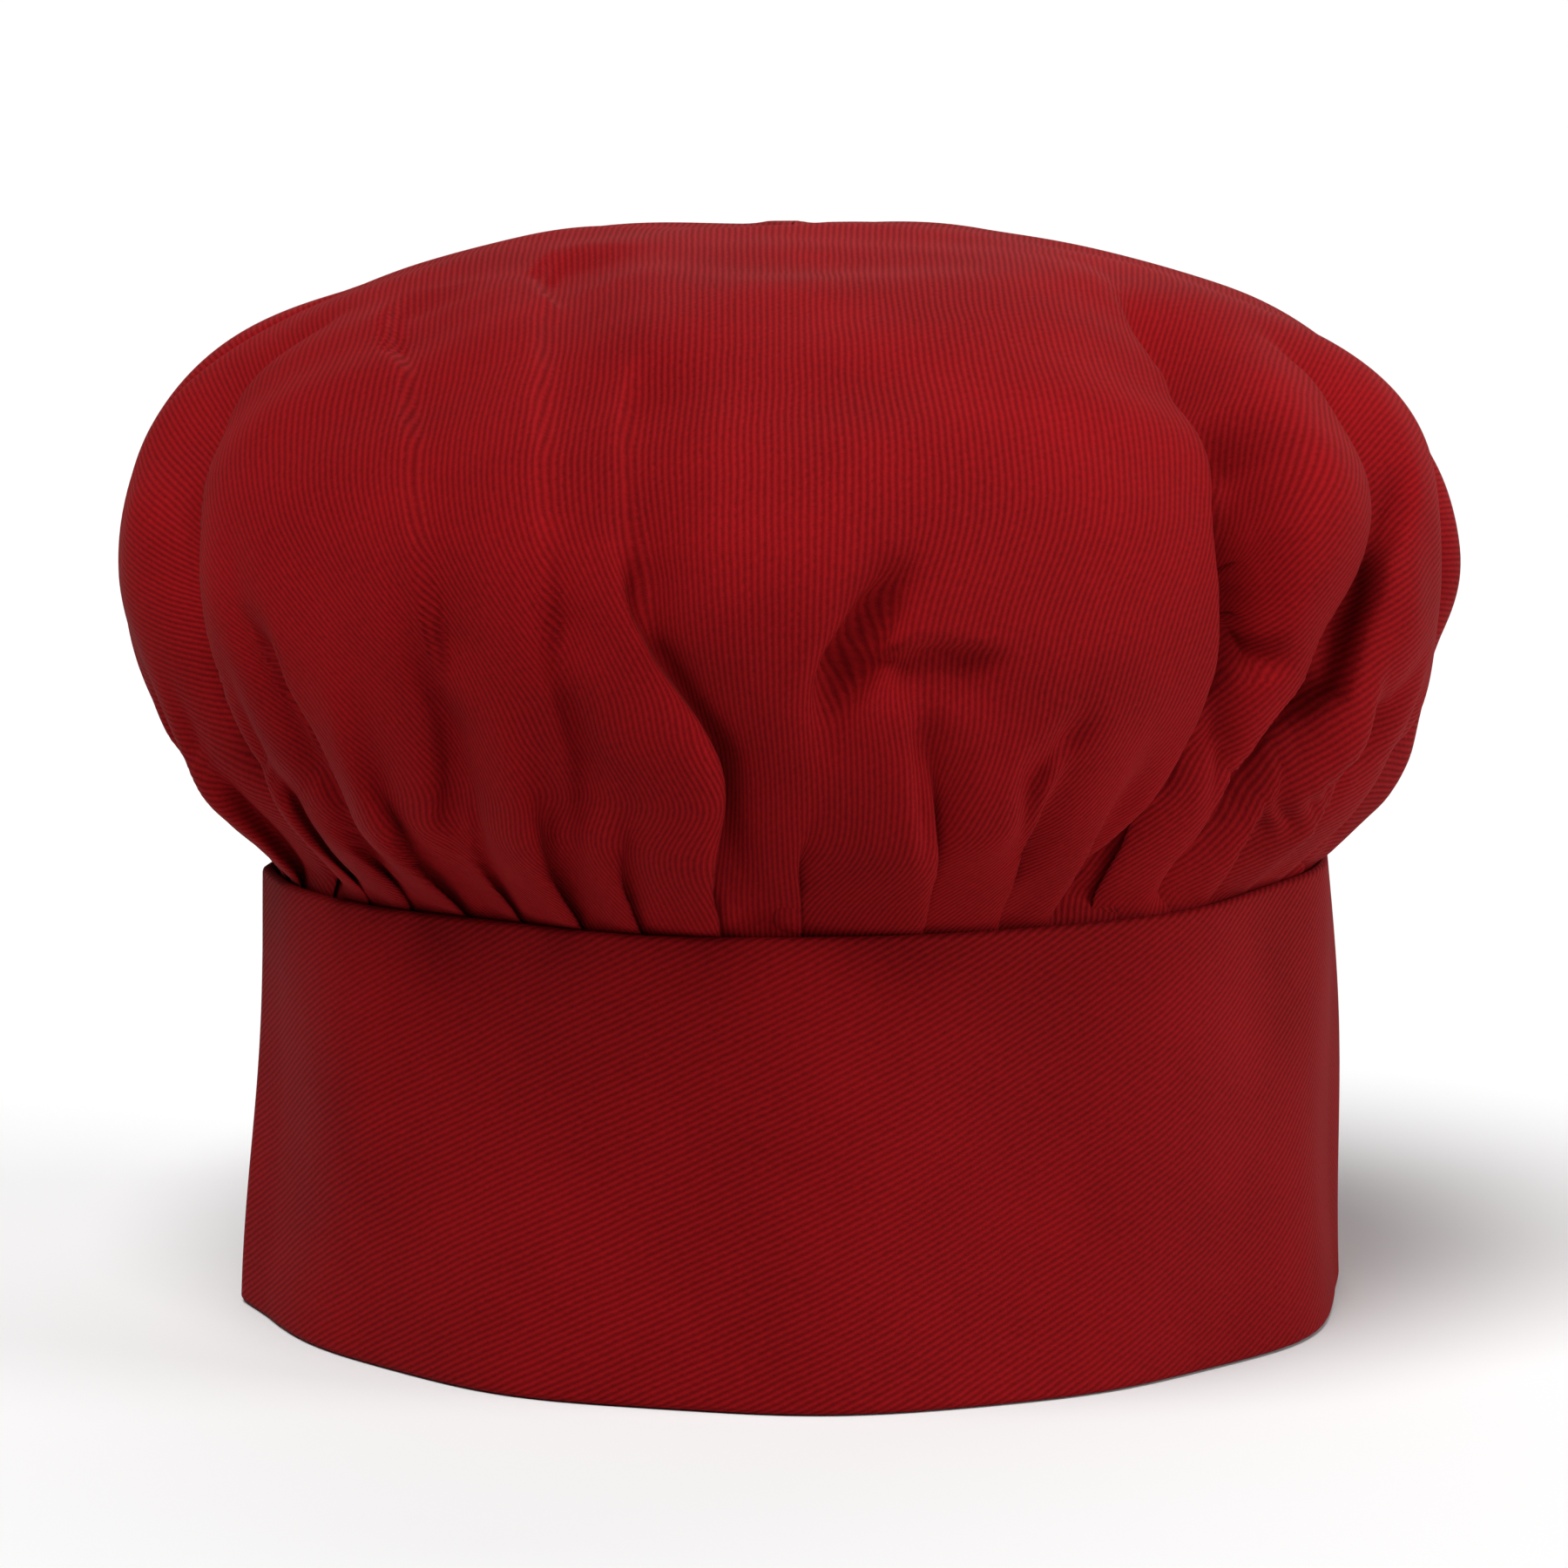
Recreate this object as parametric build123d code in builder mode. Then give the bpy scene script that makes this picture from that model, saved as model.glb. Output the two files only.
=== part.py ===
"""Chef's toque: a soft twill crown pleated into a stiffened band, with a hook-and-loop tab at the back.

The hat stands on the lower edge of its band, which is the plane z = 0. The Z axis is the middle of the
band, the wearer's brow is towards -Y and the closure is at the back, towards +Y. All sizes are in mm.
"""

import os
from math import cos, degrees, pi, radians, sin

from build123d import *

os.makedirs("parts", exist_ok=True)

# Fit of the hat on a head
head_girth = 585.0  # inside girth of the band at its lower edge
band_height = 78.0
band_draw_in = 3.6  # how much smaller the band's radius is at its top edge

# Plies
cloth = 0.6  # one layer of twill
interfacing = 0.8  # the stiffener between two layers of twill
ply_gap = 0.05  # between a piece and what it is sewn to

# Crown: a soft shell that stands for the pleated cloth
crown_wall = 1.5
crown_radius = 116.5
crown_widest_above_band = 51.0
crown_dome_rise = 57.0  # from the widest level to the top
crown_shoulder = 0.73  # how full the dome is half way round its shoulder; an ellipse has 0.707
crown_turn_in = 10.0  # the crown's lower edge, turned down inside the band
crown_neck_rise = 1.0  # straight part of the crown above the band, before it turns outwards
crown_neck_slope = 0.8  # rise over run where the crown turns outwards
pile = 0.35  # thickness of a row of thread

# Back slit
slit_width = 2.0
slit_rise = 32.0
binding_width = 5.0
bartack_length, bartack_width, bartack_height = 9.0, 2.5, 0.9

# Closure, with its lengths measured round the band
band_gap = 1.5  # between the band's two ends
tab_length = 76.0
tab_set_back = 10.0  # from the middle of the back to the line where the tab bends
tab_shy = 3.0  # how far the tab stops short of the band's edges
tab_sewn_width = 8.0  # the tab's root, sewn down to the band
tab_bend_gap = 0.4  # between the sewn root and the part that lifts
tab_clearance = 0.3  # between the tab's hooks and the loops under them
fastener_height = 40.0
fastener_thickness = 0.8
loop_length = 72.0
loop_set_back = 5.0  # from the middle of the back to the loop strip
hook_length = 34.0
hook_set_back = 4.0  # from the tab's tip to the hook strip

# Care label
label_width, label_drop, label_thickness = 22.0, 38.0, 0.5
label_angle = 60.0

# Thread
stitch_length, stitch_width = 2.6, 0.5
stitch_pitch = 3.6
stitch_inset = 2.0  # from a piece's edge to its row of stitches
seam_stitch_drop = 4.0  # from the band's top edge down to the seam inside it
overlock_length, overlock_pitch = 4.0, 4.5
stitch_sink = 0.3  # how deep the loop strip's stitches lie in its pile

# Worked out from the sizes above
BACK = 90.0  # direction of the middle of the back, in degrees from +X
band_wall = 2 * cloth + interfacing
foot_radius = head_girth / (2 * pi) + band_wall  # outside of the band at z = 0
lean = band_draw_in / band_height
mid_radius = foot_radius - band_draw_in / 2  # where lengths round the band are measured
neck_radius = foot_radius - band_draw_in - band_wall - ply_gap  # outside of the crown's turned-in edge
widest_z = band_height + crown_widest_above_band
lining_radius = neck_radius - crown_wall - ply_gap  # just inside the crown's turned-in edge
turn_in_z = band_height - crown_turn_in
tab_bottom, tab_top = tab_shy, band_height - tab_shy
fastener_bottom = (band_height - fastener_height) / 2
fastener_top = fastener_bottom + fastener_height
tab_inner = 2 * (fastener_thickness + ply_gap) + tab_clearance  # the tab's faces, off the band's
tab_outer = tab_inner + band_wall
hook_face = tab_inner - ply_gap
loop_face = ply_gap + fastener_thickness


def arc(length):
    """The angle that a length round the band takes, in degrees."""
    return degrees(length / mid_radius)


bend_angle = BACK - arc(tab_set_back)
tip_angle = bend_angle + arc(tab_length)
loop_start = BACK + arc(loop_set_back)
hook_end = tip_angle - arc(hook_set_back)
hook_start = hook_end - arc(hook_length)


def radius_at(z):
    """Outside radius of the band at a height."""
    return foot_radius - lean * z


def upright(angle):
    """The plane through the Z axis in a direction: its x is outwards and its y is up."""
    way = radians(angle)
    return Plane(origin=(0, 0, 0), x_dir=(cos(way), sin(way), 0), z_dir=(sin(way), -cos(way), 0))


def strip(low, high, bottom, top):
    """Corners of a strip's section, which lies along the band's slope from low to high outside it."""
    return [
        (radius_at(bottom) + low, bottom),
        (radius_at(bottom) + high, bottom),
        (radius_at(top) + high, top),
        (radius_at(top) + low, top),
    ]


def on_band(angle, z, stand_off, upwards=False):
    """A plane on the band's slope: its x runs round the band, or up it, and its z is outwards."""
    way = radians(angle)
    out = Vector(cos(way), sin(way), lean).normalized()
    round_way = Vector(-sin(way), cos(way), 0)
    place = Vector(radius_at(z) * cos(way), radius_at(z) * sin(way), z) + out * stand_off
    return Plane(origin=place, x_dir=out.cross(round_way) if upwards else round_way, z_dir=out)


def on_lining(angle, z, upwards=False):
    """A plane on the inside of the crown's turned-in edge, with its z towards the Z axis."""
    way = radians(angle)
    place = (lining_radius * cos(way), lining_radius * sin(way), z)
    round_way = (-sin(way), cos(way), 0)
    return Plane(origin=place, x_dir=(0, 0, 1) if upwards else round_way, z_dir=(-cos(way), -sin(way), 0))


def evenly(start, end, pitch):
    """Places from start to end, evenly spaced by about the pitch."""
    steps = max(1, round((end - start) / pitch))
    return [start + (end - start) * n / steps for n in range(steps + 1)]


def level_row(start, end, z, stand_off):
    """Planes for a level row of stitches on the band or the tab."""
    return [on_band(angle, z, stand_off) for angle in evenly(start, end, arc(stitch_pitch))]


def upright_row(angle, bottom, top, stand_off):
    """Planes for an upright row of stitches on the band or the tab."""
    return [on_band(angle, z, stand_off, upwards=True) for z in evenly(bottom, top, stitch_pitch)]


def stitched_outline(start, end, bottom, top, stand_off):
    """Planes for a rectangle of stitches, inset from the edges of the piece that they hold."""
    first, last = start + arc(stitch_inset), end - arc(stitch_inset)
    low, high = bottom + stitch_inset, top - stitch_inset
    rows = level_row(first, last, low, stand_off) + level_row(first, last, high, stand_off)
    for angle in (first, last):
        rows += upright_row(angle, low + stitch_pitch, high - stitch_pitch, stand_off)
    return rows


def stitch():
    """Adds one stitch at each open location."""
    Box(stitch_length, stitch_width, pile, align=(Align.CENTER, Align.CENTER, Align.MIN))


def save(piece, name):
    """Labels a finished piece and writes it."""
    piece.label = name
    export_step(piece, f"parts/{name}.step")


# ---------------------------------------------------------------- band
band_start = BACK + arc(band_gap / 2)
band_turn = 360 - arc(band_gap)
pocket_start = band_start + arc(cloth)
pocket_turn = band_turn - 2 * arc(cloth)

with BuildPart() as band_shell:
    with BuildSketch(upright(band_start)):
        Polygon(*strip(-band_wall, 0, 0, band_height), align=None)
    revolve(axis=Axis.Z, revolution_arc=band_turn)
    with BuildSketch(upright(pocket_start)):
        Polygon(*strip(-cloth - interfacing, -cloth, cloth, band_height), align=None)
    revolve(axis=Axis.Z, revolution_arc=pocket_turn, mode=Mode.SUBTRACT)
save(band_shell.part, "band_shell")

with BuildPart() as band_interfacing:
    with BuildSketch(upright(pocket_start + arc(ply_gap))):
        low, high = -cloth - interfacing + ply_gap, -cloth - ply_gap
        Polygon(*strip(low, high, cloth + ply_gap, band_height - ply_gap), align=None)
    revolve(axis=Axis.Z, revolution_arc=pocket_turn - 2 * arc(ply_gap))
save(band_interfacing.part, "band_interfacing")

with BuildPart() as band_end_stitches:
    low, high = stitch_inset, band_height - stitch_inset
    ends = [BACK + side * arc(band_gap / 2 + stitch_inset) for side in (-1, 1)]
    with Locations(*[place for angle in ends for place in upright_row(angle, low, high, ply_gap)]):
        stitch()
save(band_end_stitches.part, "band_end_stitches")


# ---------------------------------------------------------------- crown
def crown_edge(inset):
    """Draws the crown's section from its turned-in edge to its top, moved in by inset."""
    neck = (neck_radius - inset, band_height + crown_neck_rise + inset)
    radius, rise = crown_radius - inset, crown_dome_rise - inset
    turned_in = Line((neck[0], turn_in_z), neck)
    Spline(neck, (radius, widest_z), tangents=[(1, crown_neck_slope), (0, 1)])
    shoulder = (crown_shoulder * radius, widest_z + crown_shoulder * rise)
    dome = Spline((radius, widest_z), shoulder, (0, widest_z + rise), tangents=[(0, 1), (-1, 0)])
    return turned_in @ 0, dome @ 1


def crown_section(outer_inset, inner_inset):
    """Draws the outline of a shell between two insets of the crown."""
    outer_foot, outer_top = crown_edge(outer_inset)
    inner_foot, inner_top = crown_edge(inner_inset)
    Line(outer_foot, inner_foot)
    Line(outer_top, inner_top)


def slit_box(width, bottom, mode):
    """Cuts or keeps the part of a crown's shell that is this near the slit, up to the slit's top."""
    height = slit_top - bottom
    with Locations((0, 0, bottom)):
        Box(width, 2 * crown_radius, height, align=(Align.CENTER, Align.MIN, Align.MIN), mode=mode)


binding_reach = cloth + ply_gap  # from the crown's faces to the binding's outer faces
bound_width = slit_width + 2 * binding_width
slit_top = band_height + slit_rise
binding_foot = band_height + ply_gap  # the binding starts just above the band

with BuildPart() as crown_panel:
    with BuildSketch(Plane.XZ):
        with BuildLine():
            crown_section(0, crown_wall)
        make_face()
    revolve(axis=Axis.Z)
    slit_box(slit_width + 2 * binding_reach, turn_in_z, Mode.SUBTRACT)
save(crown_panel.part, "crown_panel")

with BuildPart() as room_for_crown:
    with BuildSketch(Plane.XZ):
        with BuildLine():
            crown_section(-ply_gap, crown_wall + ply_gap)
        make_face()
    revolve(axis=Axis.Z)
    slit_box(slit_width + 2 * cloth, turn_in_z, Mode.SUBTRACT)

with BuildPart() as slit_binding:
    with BuildSketch(Plane.XZ):
        with BuildLine():
            crown_section(-binding_reach, crown_wall + binding_reach)
        make_face()
    revolve(axis=Axis.Z)
    slit_box(bound_width, binding_foot, Mode.INTERSECT)
    slit_box(slit_width, binding_foot, Mode.SUBTRACT)
    add(room_for_crown.part, mode=Mode.SUBTRACT)
save(slit_binding.part, "slit_binding")

with BuildLine(Plane.YZ) as back_line:
    crown_edge(-binding_reach - ply_gap)
back_edge = Wire(back_line.edges())


def on_back_line(length, side):
    """A plane on the outside of the binding, with its x up the crown's back and its z outwards."""
    spot = back_edge.position_at(length, position_mode=PositionMode.LENGTH)
    up = back_edge.tangent_at(length, position_mode=PositionMode.LENGTH)
    return Plane(origin=spot + Vector(side, 0, 0), x_dir=up, z_dir=up.cross(Vector(1, 0, 0)))


def length_at(z):
    """How far along the crown's back line a height is."""
    low, high = 0.0, back_edge.length
    while high - low > ply_gap:
        middle = (low + high) / 2
        if back_edge.position_at(middle, position_mode=PositionMode.LENGTH).Z < z:
            low = middle
        else:
            high = middle
    return high


binding_start, binding_end = length_at(binding_foot + stitch_pitch), length_at(slit_top)

with BuildPart() as slit_stitches:
    rows = [side * (bound_width / 2 - stitch_inset) for side in (-1, 1)]
    run = evenly(binding_start, binding_end - stitch_inset, stitch_pitch)
    with Locations(*[on_back_line(length, side) for side in rows for length in run]):
        stitch()
save(slit_stitches.part, "slit_stitches")

with BuildPart() as slit_bartack:
    with Locations(on_back_line(binding_end + bartack_width / 2 + ply_gap, 0)):
        Box(bartack_width, bartack_length, bartack_height, align=(Align.CENTER, Align.CENTER, Align.MIN))
save(slit_bartack.part, "slit_bartack")

seam_gap = arc(slit_width / 2 + binding_width)  # the seam's stitches stop either side of the slit
seam_ends = (BACK + seam_gap, BACK + 360 - seam_gap)

with BuildPart() as crown_seam_stitches:
    angles = evenly(*seam_ends, arc(stitch_pitch))
    with Locations(*[on_lining(angle, band_height - seam_stitch_drop) for angle in angles]):
        stitch()
save(crown_seam_stitches.part, "crown_seam_stitches")

with BuildPart() as crown_overlock:
    middle = turn_in_z + overlock_length / 2
    angles = evenly(*seam_ends, arc(overlock_pitch))
    with Locations(*[on_lining(angle, middle, upwards=True) for angle in angles]):
        Box(overlock_length, stitch_width, pile, align=(Align.CENTER, Align.CENTER, Align.MIN))
save(crown_overlock.part, "crown_overlock")


# ---------------------------------------------------------------- care label
label_outer = lining_radius - pile - ply_gap
label_top = band_height - seam_stitch_drop - stitch_inset

with BuildPart() as care_label:
    with BuildSketch(upright(label_angle - arc(label_width) / 2)):
        with Locations((label_outer, label_top)):
            Rectangle(label_thickness, label_drop, align=(Align.MAX, Align.MAX))
    revolve(axis=Axis.Z, revolution_arc=arc(label_width))
save(care_label.part, "care_label")


# ---------------------------------------------------------------- closure
with BuildPart() as loop_strip:
    with BuildSketch(upright(loop_start)):
        Polygon(*strip(ply_gap, loop_face, fastener_bottom, fastener_top), align=None)
    revolve(axis=Axis.Z, revolution_arc=arc(loop_length))
save(loop_strip.part, "loop_strip")

with BuildPart() as loop_stitches:
    loop_end = loop_start + arc(loop_length)
    outline = stitched_outline(loop_start, loop_end, fastener_bottom, fastener_top, loop_face - stitch_sink)
    with Locations(*outline):
        stitch()
save(loop_stitches.part, "loop_stitches")

with BuildPart() as tab_root:
    with BuildSketch(upright(bend_angle - arc(tab_sewn_width))):
        Polygon(*strip(ply_gap, tab_outer, tab_bottom, tab_top), align=None)
    revolve(axis=Axis.Z, revolution_arc=arc(tab_sewn_width - tab_bend_gap))
save(tab_root.part, "tab_root")

with BuildPart() as tab_root_stitches:
    insets = (tab_sewn_width - stitch_inset, tab_bend_gap + stitch_inset)
    columns = [bend_angle - arc(inset) for inset in insets]
    low, high = tab_bottom + stitch_inset, tab_top - stitch_inset
    face = tab_outer + ply_gap
    with Locations(*[place for angle in columns for place in upright_row(angle, low, high, face)]):
        stitch()
save(tab_root_stitches.part, "tab_root_stitches")

with BuildPart() as closure_tab:
    with BuildSketch(upright(bend_angle)):
        Polygon(*strip(tab_inner, tab_outer, tab_bottom, tab_top), align=None)
    revolve(axis=Axis.Z, revolution_arc=arc(tab_length))
    with BuildSketch(upright(bend_angle)):
        low, high = tab_inner + cloth, tab_outer - cloth
        Polygon(*strip(low, high, tab_bottom + cloth, tab_top - cloth), align=None)
    revolve(axis=Axis.Z, revolution_arc=arc(tab_length - cloth), mode=Mode.SUBTRACT)
save(closure_tab.part, "closure_tab")

with BuildPart() as tab_interfacing:
    with BuildSketch(upright(bend_angle)):
        low, high = tab_inner + cloth + ply_gap, tab_outer - cloth - ply_gap
        bottom, top = tab_bottom + cloth + ply_gap, tab_top - cloth - ply_gap
        Polygon(*strip(low, high, bottom, top), align=None)
    revolve(axis=Axis.Z, revolution_arc=arc(tab_length - cloth - ply_gap))
save(tab_interfacing.part, "tab_interfacing")

with BuildPart() as tab_edge_stitches:
    with Locations(*stitched_outline(bend_angle, tip_angle, tab_bottom, tab_top, tab_outer + ply_gap)):
        stitch()
save(tab_edge_stitches.part, "tab_edge_stitches")

with BuildPart() as hook_strip:
    with BuildSketch(upright(hook_start)):
        low = hook_face - fastener_thickness
        Polygon(*strip(low, hook_face, fastener_bottom, fastener_top), align=None)
    revolve(axis=Axis.Z, revolution_arc=arc(hook_length))
save(hook_strip.part, "hook_strip")

with BuildPart() as hook_stitches:
    face = tab_outer + ply_gap
    with Locations(*stitched_outline(hook_start, hook_end, fastener_bottom, fastener_top, face)):
        stitch()
save(hook_stitches.part, "hook_stitches")

hinge = on_band(bend_angle, tab_bottom, tab_outer, upwards=True)
print("tab hinge, mm:", [round(v, 4) for v in hinge.origin], [round(v, 6) for v in hinge.x_dir])
print("rest face, mm:", round(-(foot_radius - band_wall / 2), 3))
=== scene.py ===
"""Looks of the chef's toque: cloth, thread, tape, light and camera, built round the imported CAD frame.

Everything is in metres in the frame's axes. An angle round the hat is measured from the front, which is
-Y, towards +X, so the middle of the back is at pi.
"""

from collections import namedtuple
from math import atan2, cos, degrees, pi, radians, sin

import bmesh
import bpy
import numpy as np
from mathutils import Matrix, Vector


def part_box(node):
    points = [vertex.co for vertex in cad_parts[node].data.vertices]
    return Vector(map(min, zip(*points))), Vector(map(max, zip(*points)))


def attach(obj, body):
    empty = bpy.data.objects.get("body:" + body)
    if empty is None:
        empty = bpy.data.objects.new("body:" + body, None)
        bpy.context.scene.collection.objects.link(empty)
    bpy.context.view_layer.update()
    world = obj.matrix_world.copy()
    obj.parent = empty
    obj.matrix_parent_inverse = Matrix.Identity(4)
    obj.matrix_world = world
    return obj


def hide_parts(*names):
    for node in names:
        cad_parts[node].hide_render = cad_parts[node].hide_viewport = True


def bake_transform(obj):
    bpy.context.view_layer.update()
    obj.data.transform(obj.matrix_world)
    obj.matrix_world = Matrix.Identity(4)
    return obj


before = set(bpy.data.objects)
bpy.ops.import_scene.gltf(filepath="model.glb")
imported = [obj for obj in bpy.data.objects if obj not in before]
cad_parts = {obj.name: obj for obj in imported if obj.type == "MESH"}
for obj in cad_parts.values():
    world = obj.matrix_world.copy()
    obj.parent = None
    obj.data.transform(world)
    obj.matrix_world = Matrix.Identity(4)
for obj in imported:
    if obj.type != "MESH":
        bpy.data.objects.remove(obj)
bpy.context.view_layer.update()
mm = 0.001


# ------ places, read from the frame
def vertices_of(node):
    """A CAD node's vertices as an array."""
    return np.array([v.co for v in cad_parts[node].data.vertices])


def angle_of(points):
    """Each point's angle round the hat, from 0 to 2 pi."""
    return np.mod(np.arctan2(points[:, 0], -points[:, 1]), 2 * pi)


def radius_of(points):
    """Each point's distance from the hat's axis."""
    return np.hypot(points[:, 0], points[:, 1])


band_points = vertices_of("band_shell")
band_radii = radius_of(band_points)
band_top = float(band_points[:, 2].max())
foot_radius = float(band_radii.max())
top_radius = float(band_radii[band_points[:, 2] > band_top - 0.1 * mm].max())
band_wall = top_radius - float(band_radii.min())
band_lean = (foot_radius - top_radius) / band_top
half_gap = float(np.abs(angle_of(band_points) - pi).min())
mid_radius = (foot_radius + top_radius) / 2
turn_in_bottom = float(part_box("crown_panel")[0][2])


Span = namedtuple("Span", "first last bottom top low high")


def span(node):
    """Where a node lies on the band: angles, heights, and how far its two faces stand off the band."""
    points = vertices_of(node)
    angles = angle_of(points)
    heights = points[:, 2]
    off = radius_of(points) - foot_radius + band_lean * heights
    return Span(*(float(end) for values in (angles, heights, off) for end in (values.min(), values.max())))


def on_hat(angle, radius, height):
    """Points at angles, radii and heights, which may be arrays."""
    angle, radius, height = np.broadcast_arrays(angle, radius, height)
    return np.stack([radius * np.sin(angle), -radius * np.cos(angle), height], -1)


def smooth(low, high, x):
    """0 below low, 1 above high, and an S-curve between them."""
    t = np.clip((x - low) / (high - low), 0, 1)
    return t * t * (3 - 2 * t)


def bell(middle, half_width, x):
    """1 at the middle, fading to either side."""
    return np.exp(-(((x - middle) / half_width) ** 2))


def from_back(angle):
    """How far an angle is from the middle of the back."""
    return np.abs(np.mod(angle, 2 * pi) - pi)


def from_front(angle):
    """An angle measured from the front, from -pi to pi."""
    return np.mod(angle + pi, 2 * pi) - pi


def lengths_along(line):
    """How far along a line of points each one lies."""
    return np.concatenate([[0], np.cumsum(np.linalg.norm(np.diff(line, axis=0), axis=1))])


# ------ meshes
def values_of(items, name, size, kind=np.float32):
    """One attribute of all of a mesh's points, corners or the like, as rows of an array."""
    values = np.empty(len(items) * size, kind)
    items.foreach_get(name, values)
    return values.reshape(-1, size)


def mesh_piece(name, points, faces, cloth_map, material):
    """An object of smooth-shaded faces, with its points' places on the flat cloth as a UV map."""
    mesh = bpy.data.meshes.new(name)
    mesh.from_pydata(np.asarray(points).reshape(-1, 3).tolist(), [], np.asarray(faces).tolist())
    corners = values_of(mesh.loops, "vertex_index", 1, int).ravel()
    layer = mesh.uv_layers.new(name="Cloth")
    layer.data.foreach_set("uv", np.asarray(cloth_map).reshape(-1, 2)[corners].ravel())
    mesh.polygons.foreach_set("use_smooth", [True] * len(mesh.polygons))
    mesh.materials.append(material)
    piece = bpy.data.objects.new(name, mesh)
    bpy.context.scene.collection.objects.link(piece)
    return piece


def grid_faces(rows, columns, first=0, flip=False):
    """Quads of a grid of points that is stored row by row."""
    index = np.arange(rows * columns).reshape(rows, columns) + first
    corners = [index[:-1, :-1], index[1:, :-1], index[1:, 1:], index[:-1, 1:]]
    if flip:
        corners.reverse()
    return np.stack(corners, -1).reshape(-1, 4)


def takes_place(piece, body, slot, *nodes):
    """Makes a piece ride a body, in place of CAD nodes; its slot is not used."""
    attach(piece, body)
    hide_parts(*nodes)


def subdivided(piece):
    """Applies one level of subdivision."""
    piece.modifiers.new("Subdivision", "SUBSURF").levels = 1
    bpy.context.view_layer.update()
    finer = bpy.data.meshes.new_from_object(piece.evaluated_get(bpy.context.evaluated_depsgraph_get()))
    piece.modifiers.clear()
    piece.data = finer
    return piece


# ------ materials
class Nodes:
    """Builds a material's node tree with short calls."""

    def __init__(self, name):
        self.material = bpy.data.materials.new(name)
        self.material.use_nodes = True
        self.tree = self.material.node_tree
        self.shader = self.tree.nodes["Principled BSDF"]

    def put(self, value, socket):
        """Links a socket's value, or sets a plain one."""
        if isinstance(value, bpy.types.NodeSocket):
            self.tree.links.new(value, socket)
        else:
            socket.default_value = value

    def math(self, operation, a, b=0.0):
        node = self.tree.nodes.new("ShaderNodeMath")
        node.operation = operation
        self.put(a, node.inputs[0])
        self.put(b, node.inputs[1])
        return node.outputs[0]

    def sum_of(self, *terms):
        total = terms[0]
        for term in terms[1:]:
            total = self.math("ADD", total, term)
        return total

    def weighed(self, *terms):
        """The sum of values, each times its weight."""
        return self.sum_of(*(self.math("MULTIPLY", value, weight) for value, weight in terms))

    def scaled(self, value, low, high):
        """A 0 to 1 value, spread over low to high."""
        return self.math("ADD", self.math("MULTIPLY", value, high - low), low)

    def cloth_place(self):
        """The place on the flat cloth, as a vector and as how far it is along and across."""
        uv = self.tree.nodes.new("ShaderNodeUVMap")
        uv.uv_map = "Cloth"
        parts = self.tree.nodes.new("ShaderNodeSeparateXYZ")
        self.tree.links.new(uv.outputs[0], parts.inputs[0])
        return uv.outputs[0], parts.outputs[0], parts.outputs[1]

    def noise(self, place, per_metre, detail=2.0, roughness=0.5):
        node = self.tree.nodes.new("ShaderNodeTexNoise")
        self.put(place, node.inputs["Vector"])
        node.inputs["Scale"].default_value = per_metre
        node.inputs["Detail"].default_value = detail
        node.inputs["Roughness"].default_value = roughness
        return node.outputs[0]

    def wave(self, value):
        """Half a sine wave either side of 0.5, once for each unit of the value."""
        turned = self.math("MULTIPLY", value, 2 * pi)
        return self.scaled(self.math("SINE", turned), 0.5, 1.0)

    def colour(self, dark, light, amount):
        """Colours the cloth between dark and light."""
        node = self.tree.nodes.new("ShaderNodeMix")
        node.data_type = "RGBA"
        self.put(amount, node.inputs["Factor"])
        node.inputs[6].default_value = (*dark, 1)
        node.inputs[7].default_value = (*light, 1)
        self.put(node.outputs[2], self.shader.inputs["Base Color"])

    def relief(self, height, distance):
        node = self.tree.nodes.new("ShaderNodeBump")
        node.inputs["Distance"].default_value = distance
        self.put(height, node.inputs["Height"])
        self.tree.links.new(node.outputs[0], self.shader.inputs["Normal"])

    def finish(self, roughness, specular, sheen=0.0, sheen_tint=(1, 1, 1)):
        self.put(roughness, self.shader.inputs["Roughness"])
        self.shader.inputs["Specular IOR Level"].default_value = specular
        self.shader.inputs["Sheen Weight"].default_value = sheen
        self.shader.inputs["Sheen Roughness"].default_value = 0.4
        self.shader.inputs["Sheen Tint"].default_value = (*sheen_tint, 1)
        return self.material


RIB_PITCH = 1.05 * mm
FLOAT_LENGTH = 1.7 * mm  # of a warp thread over the weft
THREAD_TWIST = 0.55 * mm  # along the thread for each turn of its plies
SATIN_RIB = 0.35 * mm
SATIN_FLOAT = 0.5 * mm
# Noise frequencies, per metre of cloth
WORN_PATCHES = 26.0
RIB_WANDER = 70.0
SLUBS = 900.0
TWILL_FIBRES = 3800.0


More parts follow.
